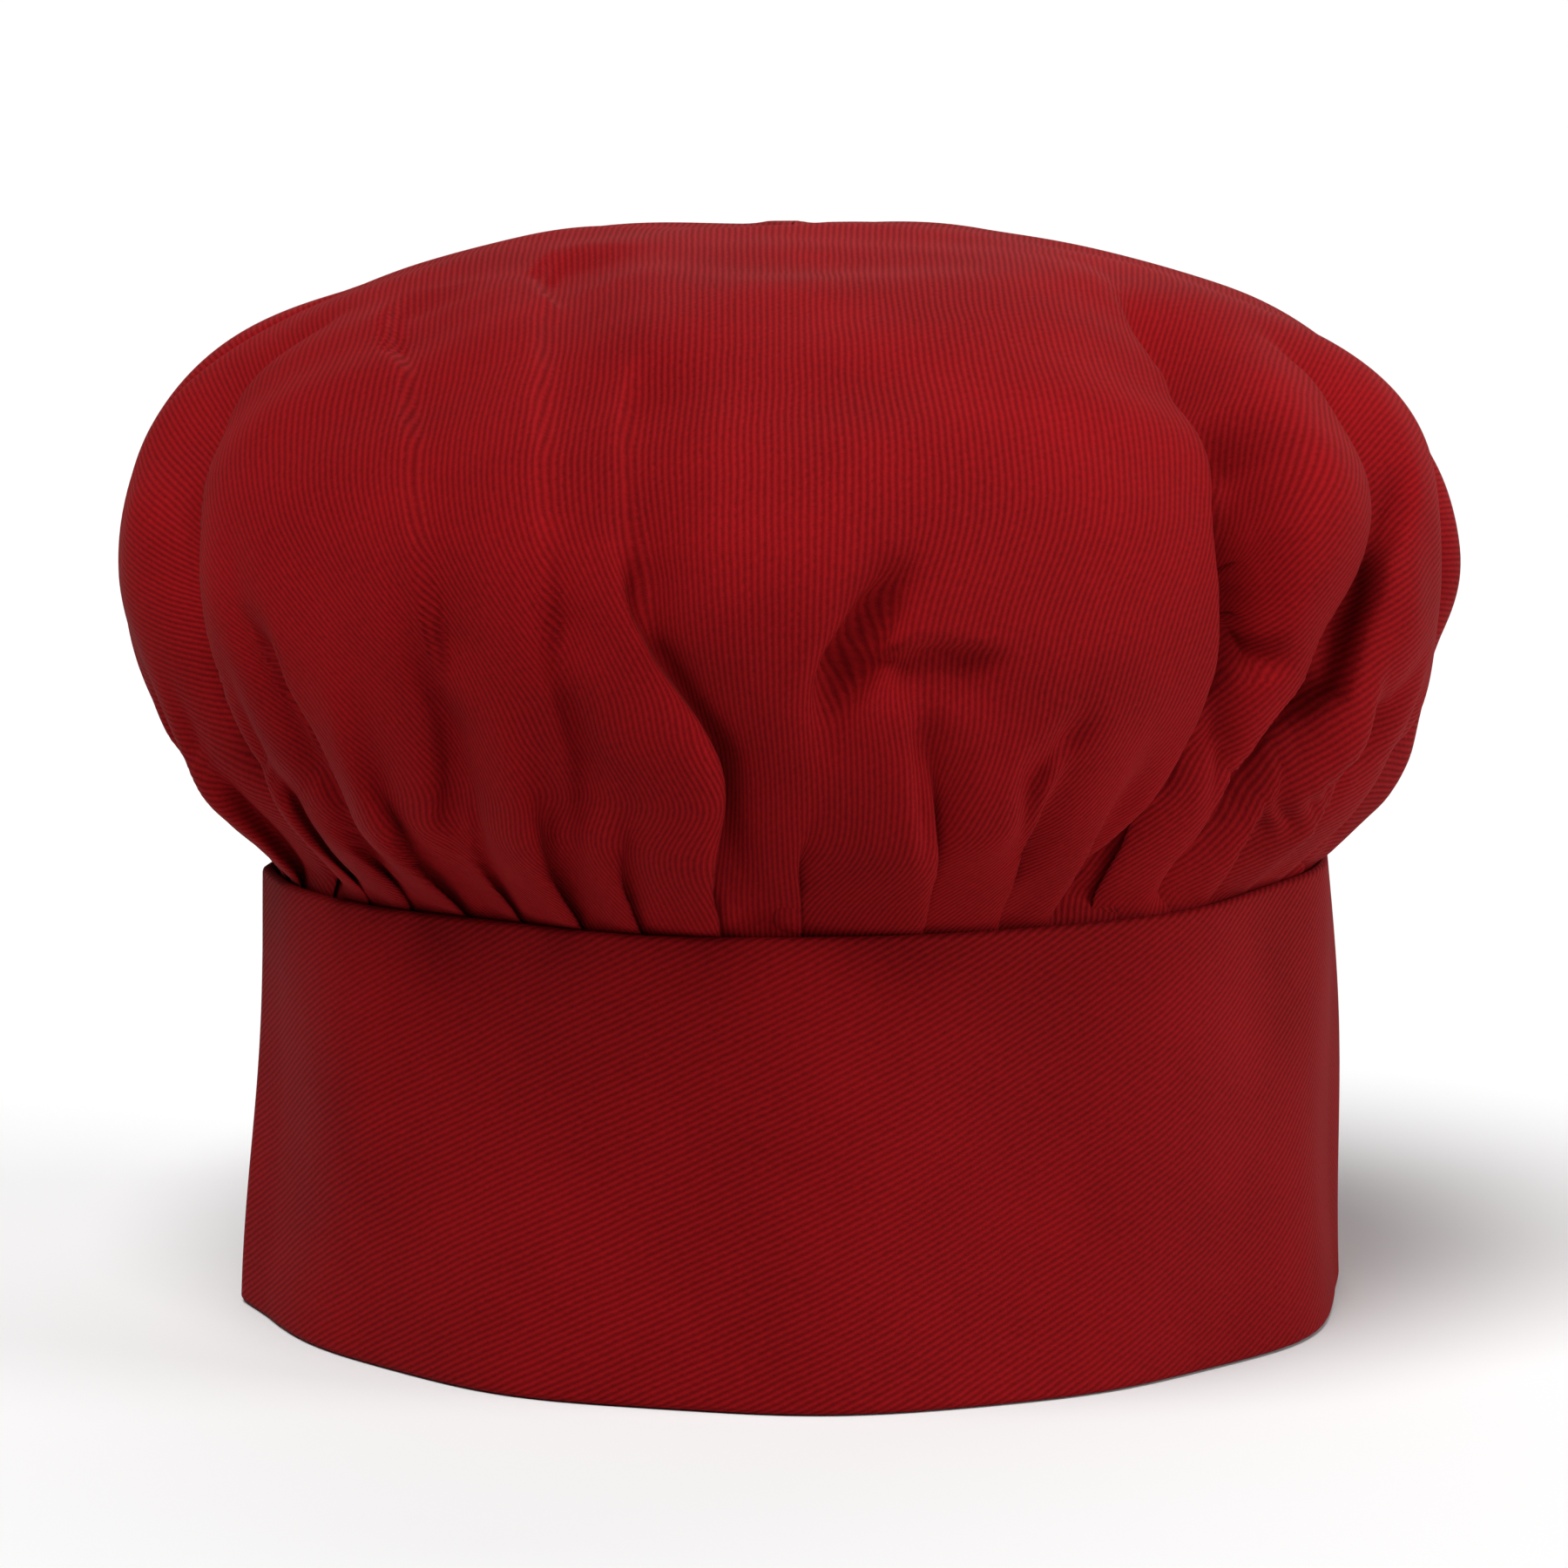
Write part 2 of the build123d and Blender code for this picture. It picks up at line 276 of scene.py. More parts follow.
def twill(name, dark, light, rib_angle):
    """Twill cloth: slanting ribs of short floats, with fibre noise and worn, uneven dye."""
    n = Nodes(name)
    place, along, across = n.cloth_place()
    way = radians(rib_angle)
    over = n.weighed((along, -sin(way)), (across, cos(way)))
    down = n.weighed((along, cos(way)), (across, sin(way)))
    wander = n.scaled(n.noise(place, RIB_WANDER, 2.0), -0.4, 0.4)
    slub = n.noise(place, SLUBS, 3.0, 0.65)
    rib_count = n.sum_of(n.math("DIVIDE", over, RIB_PITCH), wander, n.scaled(slub, -0.14, 0.14))
    rib = n.wave(rib_count)
    steps = n.sum_of(n.math("DIVIDE", down, FLOAT_LENGTH), n.math("MULTIPLY", rib_count, 0.5), wander)
    floats = n.wave(steps)
    fibre = n.noise(place, TWILL_FIBRES, 2.0, 0.7)
    patches = n.noise(place, WORN_PATCHES, 3.0, 0.6)
    weave = n.weighed((rib, 0.52), (floats, 0.05), (fibre, 0.5))
    tone = n.sum_of(
        n.math("MULTIPLY", weave, 0.7),
        n.scaled(patches, -0.12, 0.32),
        n.scaled(slub, -0.2, 0.24),
    )
    n.colour(dark, light, tone)
    n.relief(n.sum_of(weave, n.scaled(slub, -0.1, 0.1)), 0.15 * mm)
    rough = n.scaled(weave, 0.92, 0.74)
    return n.finish(rough, 0.05, 0.02, (1.0, 0.2, 0.18))


def thread_material(name, dark, light):
    """Two-ply sewing thread: twisted plies along each stitch."""
    n = Nodes(name)
    place, along, around = n.cloth_place()
    twist = n.wave(n.sum_of(n.math("DIVIDE", along, THREAD_TWIST), around))
    fibre = n.noise(place, 2500.0, 2.0)
    tone = n.weighed((twist, 0.7), (fibre, 0.3))
    n.colour(dark, light, tone)
    n.relief(tone, 0.08 * mm)
    return n.finish(n.scaled(twist, 0.7, 0.5), 0.15, 0.03, (1.0, 0.3, 0.3))


def tape_material(name, dark, light):
    """Hook and loop tape: a matted field of nylon loops."""
    n = Nodes(name)
    place = n.cloth_place()[0]
    loops = n.noise(place, 1500.0, 4.0, 0.7)
    clumps = n.noise(place, 320.0, 2.0)
    tone = n.weighed((loops, 0.75), (clumps, 0.35))
    n.colour(dark, light, tone)
    n.relief(tone, 0.3 * mm)
    return n.finish(n.scaled(loops, 0.85, 0.65), 0.12, 0.05, (1.0, 0.2, 0.2))


def satin_material(name, dark, light):
    """White woven label: fine satin ribs."""
    n = Nodes(name)
    place, along, across = n.cloth_place()
    ribs = n.wave(n.math("DIVIDE", across, SATIN_RIB))
    floats = n.wave(n.math("DIVIDE", along, SATIN_FLOAT))
    fibre = n.noise(place, 2200.0, 2.0)
    tone = n.weighed((ribs, 0.4), (floats, 0.2), (fibre, 0.4))
    n.colour(dark, light, tone)
    n.relief(tone, 0.05 * mm)
    return n.finish(0.45, 0.4, 0.05)


def felt_material(name, dark, light):
    """Bonded non-woven stiffener: pressed fibres."""
    n = Nodes(name)
    place = n.cloth_place()[0]
    fibre = n.noise(place, 1400.0, 5.0, 0.75)
    n.colour(dark, light, fibre)
    n.relief(fibre, 0.15 * mm)
    return n.finish(0.9, 0.2)


crown_cloth = twill("crown_cloth", (0.06, 0.0004, 0.0009), (0.29, 0.0045, 0.0065), 90.0)
band_cloth = twill("band_cloth", (0.06, 0.0004, 0.0009), (0.262, 0.004, 0.006), 27.0)
binding_cloth = twill("binding_cloth", (0.065, 0.0003, 0.0007), (0.27, 0.0032, 0.005), 45.0)
sewing_thread = thread_material("sewing_thread", (0.11, 0.002, 0.003), (0.36, 0.009, 0.013))
fastener_tape = tape_material("fastener_tape", (0.03, 0.0004, 0.0008), (0.2, 0.003, 0.005))
label_satin = satin_material("label_satin", (0.55, 0.54, 0.51), (0.86, 0.85, 0.82))
stiffener_felt = felt_material("stiffener_felt", (0.55, 0.54, 0.5), (0.82, 0.81, 0.77))


# ------ crown
GRID = 75  # squares from the middle of the crown's cloth to its edge
FLAT_RADIUS = 206.0 * mm  # of the round cloth that is pleated into the band
NECK_RADIUS = top_radius - band_wall
WIDE_RADIUS = 116.2 * mm
WIDE_HEIGHT = band_top + 51.0 * mm
CROWN_TOP = float(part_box("crown_panel")[1][2])
DOME_POWER = 2.3  # 2 is an ellipse, and more is squarer

# A long fold: its line as (share of the way from the crown's middle to the band, degrees from the front),
# the shares where it starts and is full, its depth, how far it laps over, and its width, in millimetres.
# One that laps the other way has a negative lap, and one that fades says between which shares.
Fold = namedtuple("Fold", "line grows depth lap width fades", defaults=[None])
FOLDS = [
    # the two folds low down at the left, which carry on from pressed creases
    Fold(
        [(0.33, -86), (0.37, -68), (0.42, -55), (0.58, -36), (0.69, -31.5), (0.8, -30.5), (0.94, -34)],
        (0.62, 0.8), 4.4, 2.4, 14,
    ),
    Fold(
        [
            (0.19, -78), (0.23, -56), (0.3, -39), (0.42, -28),
            (0.61, -21), (0.72, -19), (0.83, -18), (0.92, -19),
        ],
        (0.6, 0.8), 3.8, 2.6, 13,
    ),
    # the deep fold that falls from the left of the middle panel
    Fold([(0.44, -18), (0.64, -13), (0.72, -11), (0.82, -6.5), (0.98, -2)], (0.56, 0.78), 8.0, 4.5, 17),
    # the dimple low in the middle panel and the soft folds right of it
    Fold([(0.6, 12), (0.65, 10), (0.71, 6.5), (0.78, 3.5)], (0.58, 0.7), 4, 0, 9, (0.74, 0.84)),
    Fold([(0.73, 11), (0.99, 14)], (0.72, 0.86), 4, 1.5, 8),
    Fold([(0.8, 20.5), (0.98, 22)], (0.78, 0.9), 4, 2, 8),
    # the big fold at the right and its neighbours
    Fold(
        [(0.27, 69), (0.34, 56), (0.48, 44), (0.64, 39), (0.71, 38), (0.81, 37.5), (0.88, 36), (0.97, 33)],
        (0.25, 0.58), 22, 5, 27,
    ),
    Fold([(0.74, 41), (0.83, 43), (0.93, 45.5)], (0.72, 0.85), 4, 2, 8),
    Fold([(0.5, 68), (0.64, 61), (0.71, 56), (0.78, 52), (0.87, 48), (0.95, 45)], (0.42, 0.64), 18, 4, 20),
    Fold([(0.76, 70), (0.85, 61), (0.93, 55)], (0.74, 0.87), 6, 2, 9),
    # the left side
    Fold([(0.6, -52), (0.72, -50), (0.8, -48), (0.93, -46)], (0.6, 0.8), 3.5, 2, 9),
    Fold(
        [(0.5, -70), (0.6, -65), (0.66, -61), (0.77, -58), (0.87, -57), (0.95, -59)],
        (0.38, 0.6), 23, -5, 29,
    ),
    Fold([(0.3, -100), (0.6, -90), (0.95, -83)], (0.32, 0.66), 12, 3, 17),
    Fold([(0.66, -100), (0.95, -97)], (0.62, 0.8), 5, 2.5, 10),
    Fold([(0.48, -116), (0.75, -118), (0.95, -113)], (0.44, 0.7), 8, 3, 13),
    # the right side
    Fold([(0.45, 92), (0.7, 80), (0.95, 74)], (0.42, 0.68), 12, 4, 17),
    Fold([(0.72, 100), (0.95, 92)], (0.7, 0.86), 4, 2, 9),
    Fold([(0.3, 124), (0.55, 112), (0.8, 106), (0.95, 103)], (0.28, 0.6), 9, 4, 18),
    # round the back
    Fold([(0.62, 128), (0.82, 121), (0.95, 117)], (0.6, 0.8), 6, 3, 11),
    Fold([(0.38, 134), (0.62, 141), (0.95, 137)], (0.34, 0.66), 11, 4, 15),
    Fold([(0.7, 158), (0.95, 152)], (0.66, 0.84), 5, 2, 10),
    Fold([(0.24, -150), (0.55, -138), (0.95, -129)], (0.22, 0.6), 9, 4, 19),
    Fold([(0.68, -146), (0.95, -142)], (0.64, 0.82), 5, 2, 9),
    Fold([(0.52, -161), (0.75, -158), (0.95, -155)], (0.5, 0.74), 6, 3, 11),
]

# Where the pleats across the front are folded, in degrees from the front
FRONT_PLEATS = [-46.5, -38, -30.6, -22.5, -15.8, -7.5, 0.7, 13.5, 22, 28, 36.7, 44, 50.5]
PLEAT_TURN = 7.4  # about how far apart the others are, in degrees
PLEAT_HEIGHT = 1.7 * mm  # how far a pleat's lip stands over the next pleat at the seam
PLEAT_SWELL = 3.4 * mm  # how much further it stands out above the seam
LEAN = -2.5 * mm  # how far the crown slumps to the left
LEAN_RISE = 45.0 * mm  # the height over which it comes to lean that far
PLEAT_TUCK = 0.5  # how much of a pleat lies under its neighbour
PLEAT_LIP = 0.12  # how much of that turns over at its lip
UNEVEN = (0.75, 1.3)  # how much the turn from one pleat to the next varies
PLEAT_STARTS = (0.72, 0.82)  # shares of the way to the band where pleats start
UNPLEATED_START = 0.85
FLAT_BACK = (radians(5), radians(11))  # from the middle of the back: no folds, then folds fade in


def square_to_disc(n):
    """A square grid bent into a disc: each point's share of the radius and its angle from the front."""
    steps = np.arange(-n, n + 1)
    x, y = np.meshgrid(steps, steps, indexing="ij")
    ring = np.maximum(np.abs(x), np.abs(y))
    safe = np.maximum(ring, 1)
    eighth = pi / 4
    sides = [x == ring, y == ring, -x == ring]
    angles = [eighth * y / safe, 2 * eighth - eighth * x / safe, 4 * eighth - eighth * y / safe]
    angle = np.select(sides, angles, 6 * eighth + eighth * x / safe)
    return ring / n, from_front(angle)


SEAM_SAG = 1.4 * mm
SAG_MIDDLE = radians(-76)
SAG_HALF_WIDTH = radians(36)


def seam_height(angle):
    """The height of the seam between crown and band, which sags a little at the left."""
    return band_top - SEAM_SAG * bell(SAG_MIDDLE, SAG_HALF_WIDTH, from_front(angle))


def crown_profile():
    """The crown's side from its top to the band as (share of the way, radius, height, normal)."""
    t = np.linspace(0, pi / 2, 300)
    power = 2 / DOME_POWER
    dome_rise = (CROWN_TOP - WIDE_HEIGHT) * np.cos(t) ** power
    dome = np.stack([WIDE_RADIUS * np.sin(t) ** power, WIDE_HEIGHT + dome_rise], 1)
    u = np.linspace(0, 1, 200)[1:, None]
    start = np.array([WIDE_RADIUS, WIDE_HEIGHT])
    pull = np.array([WIDE_RADIUS - 0.5 * mm, band_top + 32 * mm])
    tuck = np.array([NECK_RADIUS + 5.5 * mm, band_top + 8.0 * mm])
    end = np.array([NECK_RADIUS, band_top])
    under = (1 - u) ** 3 * start + 3 * u * (1 - u) ** 2 * pull + 3 * u * u * (1 - u) * tuck + u**3 * end
    side = np.concatenate([dome, under])
    lengths = lengths_along(side)
    tangent = np.gradient(side, axis=0)
    tangent /= np.linalg.norm(tangent, axis=1, keepdims=True)
    return lengths / lengths[-1], side[:, 0], side[:, 1], -tangent[:, 1], tangent[:, 0]


def pleats_at_seam(random):
    """The pleats round the seam: shares of the flat cloth's turn, their angles, layers and reach."""
    lips = list(FRONT_PLEATS)
    while lips[-1] < 180 - degrees(FLAT_BACK[1]):
        lips.append(lips[-1] + PLEAT_TURN * random.uniform(*UNEVEN))
    while lips[0] > -180 + degrees(FLAT_BACK[1]):
        lips.insert(0, lips[0] - PLEAT_TURN * random.uniform(*UNEVEN))
    lips = np.radians([-180.0] + lips[1:-1] + [180.0])
    widths = np.diff(lips)
    flat, angle, layer, reach = [0.0], [lips[0]], [0.0], [UNPLEATED_START]
    for lip, width in zip(lips[1:-1], widths):
        tuck = PLEAT_TUCK * width
        start = random.uniform(*PLEAT_STARTS)
        at_lip = flat[-1] + lip - angle[-1]
        flat += [at_lip, at_lip + PLEAT_LIP * tuck, at_lip + (1 + PLEAT_LIP) * tuck]
        angle += [lip, lip, lip - tuck]
        layer += [1.0, 0.8, 0.0]
        reach += [start, start, start]
    flat.append(flat[-1] + lips[-1] - angle[-1])
    angle.append(lips[-1])
    layer.append(0.0)
    reach.append(UNPLEATED_START)
    flat = np.array(flat) / flat[-1] * 2 * pi - pi
    return flat, np.array(angle), np.array(layer), np.array(reach)


FOLD_LIP = 2.2  # millimetres over which a fold turns over at its line


def long_folds(turn, share, radius):
    """What the long folds do along one ring of the crown: how far they shift it round and push it in."""
    shift = np.zeros_like(turn)
    depth = np.zeros_like(turn)
    for fold in FOLDS:
        middle = radians(np.interp(share, *zip(*fold.line)))
        strength = smooth(*fold.grows, share) * (1 - 0.75 * smooth(0.85, 1.0, share))
        if fold.fades:
            strength *= 1 - smooth(*fold.fades, share)
        x = from_front(turn - middle) * radius / mm
        if fold.lap < 0:
            x = -x
        before = np.clip((x + fold.width) / (fold.width - FOLD_LIP), 0, 1) ** 2
        after = np.clip(1 - x / fold.width, 0, 1) ** 2
        lip = np.where(x < -FOLD_LIP, before, np.clip(-x / FOLD_LIP, 0, 1))
        valley = np.where(x > 0, after, np.clip(1 + x / FOLD_LIP, 0, 1))
        shift += strength * fold.lap * lip
        depth += strength * fold.depth * (valley + 0.25 * lip)
    return shift * mm / radius, depth * mm


def cad_side():
    """Heights and outside radii of the CAD crown from its neck to its widest level."""
    points = vertices_of("crown_panel")
    radii = radius_of(points)
    under = (points[:, 2] > band_top) & (points[:, 2] < points[np.argmax(radii), 2])
    order = np.argsort(points[under, 2])
    return points[under, 2][order], np.maximum.accumulate(radii[under][order])


CAD_WALL = 1.5 * mm
SLIT_TOP = float(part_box("slit_binding")[1][2])


def sculpted_crown():
    """The crown's cloth with folds and pleats laid in: share of radius, angle and place of each point."""
    share, angle = square_to_disc(GRID)
    sides = crown_profile()
    pleat_flat, pleat_angle, pleat_layer, pleat_reach = pleats_at_seam(np.random.default_rng(5))
    cad_heights, cad_radii = cad_side()
    turn = np.linspace(-pi, pi, 6001)
    folded_angle = np.interp(turn, pleat_flat, pleat_angle)
    layer = np.sin(np.interp(turn, pleat_flat, pleat_layer) * pi / 2) ** 0.8
    reach = np.interp(turn, pleat_flat, pleat_reach)
    folding = smooth(*FLAT_BACK, from_back(turn))
    places = np.zeros(share.shape + (3,))
    rings = np.round(share * GRID).astype(int)
    for ring in range(1, GRID + 1):
        along = ring / GRID
        radius, height, out, up = (float(np.interp(along, sides[0], side)) for side in sides[1:])
        shift, depth = long_folds(turn, along, radius)
        pleating = folding * smooth(reach, 1.0, along) ** 1.3
        round_it = (turn + shift * folding) * (1 - pleating) + folded_angle * pleating
        swell = PLEAT_SWELL * (1 - smooth(0.88, 1.0, along))
        swelling = folding * smooth(reach - 0.02, reach + 0.14, along)
        lift = layer * (PLEAT_HEIGHT * pleating + swell * swelling)
        radii = radius - PLEAT_HEIGHT * smooth(0.9, 1.0, along) + (lift - depth * folding) * out
        heights = height + (lift - depth * folding) * up
        heights = heights - (band_top - seam_height(round_it)) * smooth(0.7, 1.0, along)
        if ring == GRID:
            radii = NECK_RADIUS - PLEAT_HEIGHT * (1 - layer)
            heights = seam_height(round_it)
        radii = radii + band_sway(round_it, band_top) * smooth(0.85, 1.0, along)
        on_cad = (1 - folding) * (1 - smooth(SLIT_TOP + 4 * mm, SLIT_TOP + 16 * mm, height))
        radii = radii + (np.interp(height, cad_heights, cad_radii) - CAD_WALL / 2 - radii) * on_cad
        curve = on_hat(round_it, radii, heights)
        curve[:, 0] += LEAN * folding * smooth(0, LEAN_RISE, height - band_top)
        lengths = lengths_along(curve)
        front = np.interp(0.0, turn, lengths)
        half_round = np.where(lengths < front, front, lengths[-1] - front)
        past = (lengths - front) / half_round
        here = rings == ring
        at = np.interp(angle[here], past * pi, turn)
        places[here] = np.stack([np.interp(at, turn, curve[:, k]) for k in range(3)], 1)
    places[share == 0] = (LEAN, 0, CROWN_TOP)
    return share, angle, places


def link_groups(size, rows, columns):
    """Slices that pair every point with the one rows and columns away, in sets that share no point."""
    step = rows or columns
    whole, ahead, behind = slice(None), slice(0, size - 1), slice(1, size)
    groups = []
    for phase in range(2):
        index = np.array([i for i in range(size - step) if (i // step) % 2 == phase])
        if not rows:
            groups.append(((whole, index), (whole, index + step)))
        elif not columns:
            groups.append(((index, whole), (index + step, whole)))
        elif columns > 0:
            groups.append(((index, ahead), (index + step, behind)))
        else:
            groups.append(((index, behind), (index + step, ahead)))
    return groups


BENDING = 0.25  # links this slack hold cloth apart but don't pull it together
# The cloth's links: rows away, columns away and stiffness. Threads, then the bias, then bending.
LINKS = [
    (1, 0, 1.0),
    (0, 1, 1.0),
    (1, 1, 0.5),
    (1, -1, 0.5),
    (2, 0, 0.5),
    (0, 2, 0.5),
    (4, 0, BENDING),
    (0, 4, BENDING),
]
SETTLE_ROUNDS = 60
AIR = 0.02 * mm  # how far the air inside pushes the cloth out in each round
HOLD = 0.1  # how firmly the cloth keeps to its sculpted place
SPARE = 0.15  # share of the flat cloth's extra length that it may take up
MOMENTUM = 0.9


def settled(places, flat, share, free):
    """Lets the sculpted cloth settle: threads keep their length, bends ease, and a little air fills it."""
    cloth = places.astype(np.float32)
    target = cloth.copy()
    flat = flat.astype(np.float32)
    free = free.astype(np.float32)[..., None]
    spare = (SPARE * smooth(0.5, 0.8, share)).astype(np.float32)
    links = []
    for rows, columns, stiffness in LINKS:
        for a, b in link_groups(cloth.shape[0], rows, columns):
            sculpted = np.linalg.norm(target[a] - target[b], axis=-1)
            cut = np.linalg.norm(flat[a] - flat[b], axis=-1)
            rest = sculpted + (cut - sculpted) * (spare[a] + spare[b]) / 2
            links.append((a, b, rest, stiffness))
    speed = np.zeros_like(cloth)
    for _ in range(SETTLE_ROUNDS):
        before = cloth.copy()
        normal = np.zeros_like(cloth)
        normal[1:-1, 1:-1] = np.cross(cloth[2:, 1:-1] - cloth[:-2, 1:-1], cloth[1:-1, 2:] - cloth[1:-1, :-2])
        normal /= np.linalg.norm(normal, axis=-1, keepdims=True) + 1e-9
        cloth += (speed * MOMENTUM + normal * AIR + (target - cloth) * HOLD) * free
        for a, b, rest, stiffness in links:
            gap = cloth[b] - cloth[a]
            length = np.sqrt((gap * gap).sum(-1)) + 1e-9
            error = (length - rest) / length
            pull = stiffness if stiffness > BENDING else 0.0
            push = np.where(error > 0, pull, stiffness)
            move = gap * (0.5 * push * error)[..., None]
            cloth[a] += move * free[a]
            cloth[b] -= move * free[b]
        speed = cloth - before
    return cloth.astype(float)


TURN_IN = 0.6 * mm  # how far the turned-down edge stands in from the seam
SLIT_HALF = 2.4 * mm  # half of what is taken out between the slit's bound edges


def crown_piece():
    """The pleated crown, one round of cloth whose edge turns down inside the band."""
    share, angle, places = sculpted_crown()
    flat = on_hat(angle, share * FLAT_RADIUS, 0.0)
    at_edge = share > 0.999
    beside_slit = (from_back(angle) < FLAT_BACK[0]) & (places[..., 2] < SLIT_TOP + 6 * mm) & (share > 0.5)
    places = settled(places, flat, share, ~(at_edge | beside_slit))
    rim = np.flatnonzero(at_edge.ravel())
    rim = rim[np.argsort(angle.ravel()[rim])]
    edge = places.reshape(-1, 3)[rim]
    edge_flat = flat.reshape(-1, 3)[rim]
    points, flats = [places.reshape(-1, 3)], [flat.reshape(-1, 3)]
    size = 2 * GRID + 1
    faces = [grid_faces(size, size)]
    above, count = rim, size * size
    for down in (0.2, 0.6, 1.0):
        row = edge.copy()
        row[:, :2] *= 1 - TURN_IN * sin(down * pi / 2) / NECK_RADIUS
        row[:, 2] += (turn_in_bottom - edge[:, 2]) * down
        points.append(row)
        flats.append(edge_flat * (1 + (band_top - turn_in_bottom) * down / FLAT_RADIUS))
        below = np.arange(count, count + len(rim))
        faces.append(np.stack([above, below, np.roll(below, -1), np.roll(above, -1)], -1))
        above, count = below, count + len(rim)
    flats = np.concatenate(flats)[:, :2]
    coarse = mesh_piece("crown_cloth", np.concatenate(points), np.concatenate(faces), flats, crown_cloth)
    piece = subdivided(coarse)
    press_creases(piece)
    open_slit(piece)
    add_bake_map(piece)
    takes_place(piece, "hat", "crown_twill", "crown_panel")


# A crease pressed or pinched into the settled cloth: its line as for a fold, its depth, and how many
# millimetres it takes to come back up on the right and on the left of the line, as it runs down the crown.
Crease = namedtuple("Crease", "line depth before after")
CREASES = [
    Crease(
        [(0.34, -66), (0.46, -42), (0.54, -34.7), (0.64, -29.9), (0.7, -28.8), (0.78, -28.5)],
        2.5, 3.2, 20,
    ),
    Crease(
        [(0.19, -63), (0.33, -33.6), (0.45, -25), (0.55, -20.4), (0.63, -18.5), (0.76, -18.3)],
        2.8, 3.2, 18,
    ),
    Crease([(0.42, -15), (0.49, -14.5), (0.56, -13), (0.63, -11.9), (0.72, -11)], 3.4, 3.0, 15),
    Crease([(0.79, 2.8), (0.73, 5), (0.695, 6.8), (0.665, 8.3), (0.64, 11)], 4.6, 7, 9),
    Crease([(0.745, 4), (0.725, 8.3), (0.72, 12), (0.73, 19)], 3.4, 12, 2.5),
    Crease([(0.75, 10.5), (0.84, 10.8), (0.92, 11.6)], 1.8, 2, 9),
    Crease([(0.48, 49), (0.61, 42.5), (0.67, 41.5), (0.73, 41), (0.82, 40.5)], 9.0, 3.5, 18),
    Crease([(0.75, 50), (0.78, 43.2), (0.84, 39.8), (0.9, 38.7)], 3.0, 7, 3),
    Crease([(0.6, 72), (0.67, 63), (0.73, 58.9), (0.79, 56.4), (0.83, 51.2), (0.88, 47.6)], 4.5, 9, 3),
    Crease([(0.54, -68), (0.66, -60), (0.72, -58), (0.78, -57.5), (0.86, -59.5)], 8.0, 16, 3),
    Crease([(0.7, -50), (0.74, -48.3), (0.78, -47.9), (0.82, -46.1), (0.89, -45.7)], 2.8, 2, 9),
    Crease([(0.775, 27.4), (0.8, 23.3), (0.83, 20.8), (0.88, 19.6)], 2.0, 8, 4),
]
CREASE_END = 14.0  # millimetres over which a crease fades out at either end
SLACK_WAVES = 9
SLACK_LENGTHS = (24.0, 70.0)  # millimetres from crest to crest
SLACK_RISE = 0.0065  # of a wave's length


def beside(line, places):
    """How far places lie to the left of a line, and how far they are from its nearer end, in millimetres."""
    share, turn = np.array(line).T
    steps = np.linspace(0, 1, 12 * len(line))
    knots = np.linspace(0, 1, len(line))
    angles = np.radians(np.interp(steps, knots, turn))
    points = on_hat(angles, np.interp(steps, knots, share) * FLAT_RADIUS / mm, 0)[:, :2]
    ahead = np.diff(points, axis=0)
    run = lengths_along(points)
    lengths = np.diff(run)
    nearest = np.full(len(places), np.inf)
    side = np.zeros(len(places))
    to_end = np.zeros(len(places))
    for start, way, length, before in zip(points, ahead / lengths[:, None], lengths, run):
        offset = places - start
        along = np.clip(offset @ way, 0, length)
        gap = np.linalg.norm(offset - along[:, None] * way, axis=1)
        closer = gap < nearest
        nearest[closer] = gap[closer]
        side[closer] = np.sign(way[0] * offset[closer, 1] - way[1] * offset[closer, 0])
        to_end[closer] = np.minimum(before + along, run[-1] - before - along)[closer]
    return nearest * side, to_end


def press_creases(piece):
    """Presses the creases into the crown, with a little slack between them."""
    mesh = piece.data
    places = values_of(mesh.vertices, "co", 3).astype(float)
    normals = values_of(mesh.vertex_normals, "vector", 3)
    normals *= np.sign((normals * (places - (0, 0, WIDE_HEIGHT))).sum())
    corners = values_of(mesh.loops, "vertex_index", 1, int).ravel()
    flat = np.zeros((len(places), 2))
    flat[corners] = values_of(mesh.uv_layers["Cloth"].data, "uv", 2)
    share = radius_of(flat) / FLAT_RADIUS
    lean = LEAN * smooth(0, LEAN_RISE, places[:, 2] - band_top)
    angle = np.arctan2(places[:, 0] - lean, -places[:, 1])
    seen = on_hat(angle, share * FLAT_RADIUS / mm, 0)[:, :2]

    rise = np.zeros(len(places))
    for crease in CREASES:
        across, to_end = beside(crease.line, seen)
        width = np.where(across > 0, crease.after, crease.before)
        dip = smooth(0, 1, 1 - np.abs(across) / width)
        rise -= crease.depth * dip * smooth(0, CREASE_END, to_end)
    random = np.random.default_rng(23)
    for _ in range(SLACK_WAVES):
        length = random.uniform(*SLACK_LENGTHS)
        way = random.uniform(0, pi)
        start = random.uniform(0, 2 * pi)
        bend = random.uniform(0.4, 1.2)
        along = flat / mm @ (cos(way), sin(way))
        across = flat / mm @ (-sin(way), cos(way))
        bent = along / length * 2 * pi + bend * np.sin(across / length * 1.7 + start)
        rise += SLACK_RISE * length * np.sin(bent + start)
    rise *= (1 - smooth(0.86, 0.97, share)) * smooth(*FLAT_BACK, from_back(angle))
    places += normals * (rise * mm)[:, None]
    mesh.vertices.foreach_set("co", places.astype(np.float32).ravel())
    mesh.update()


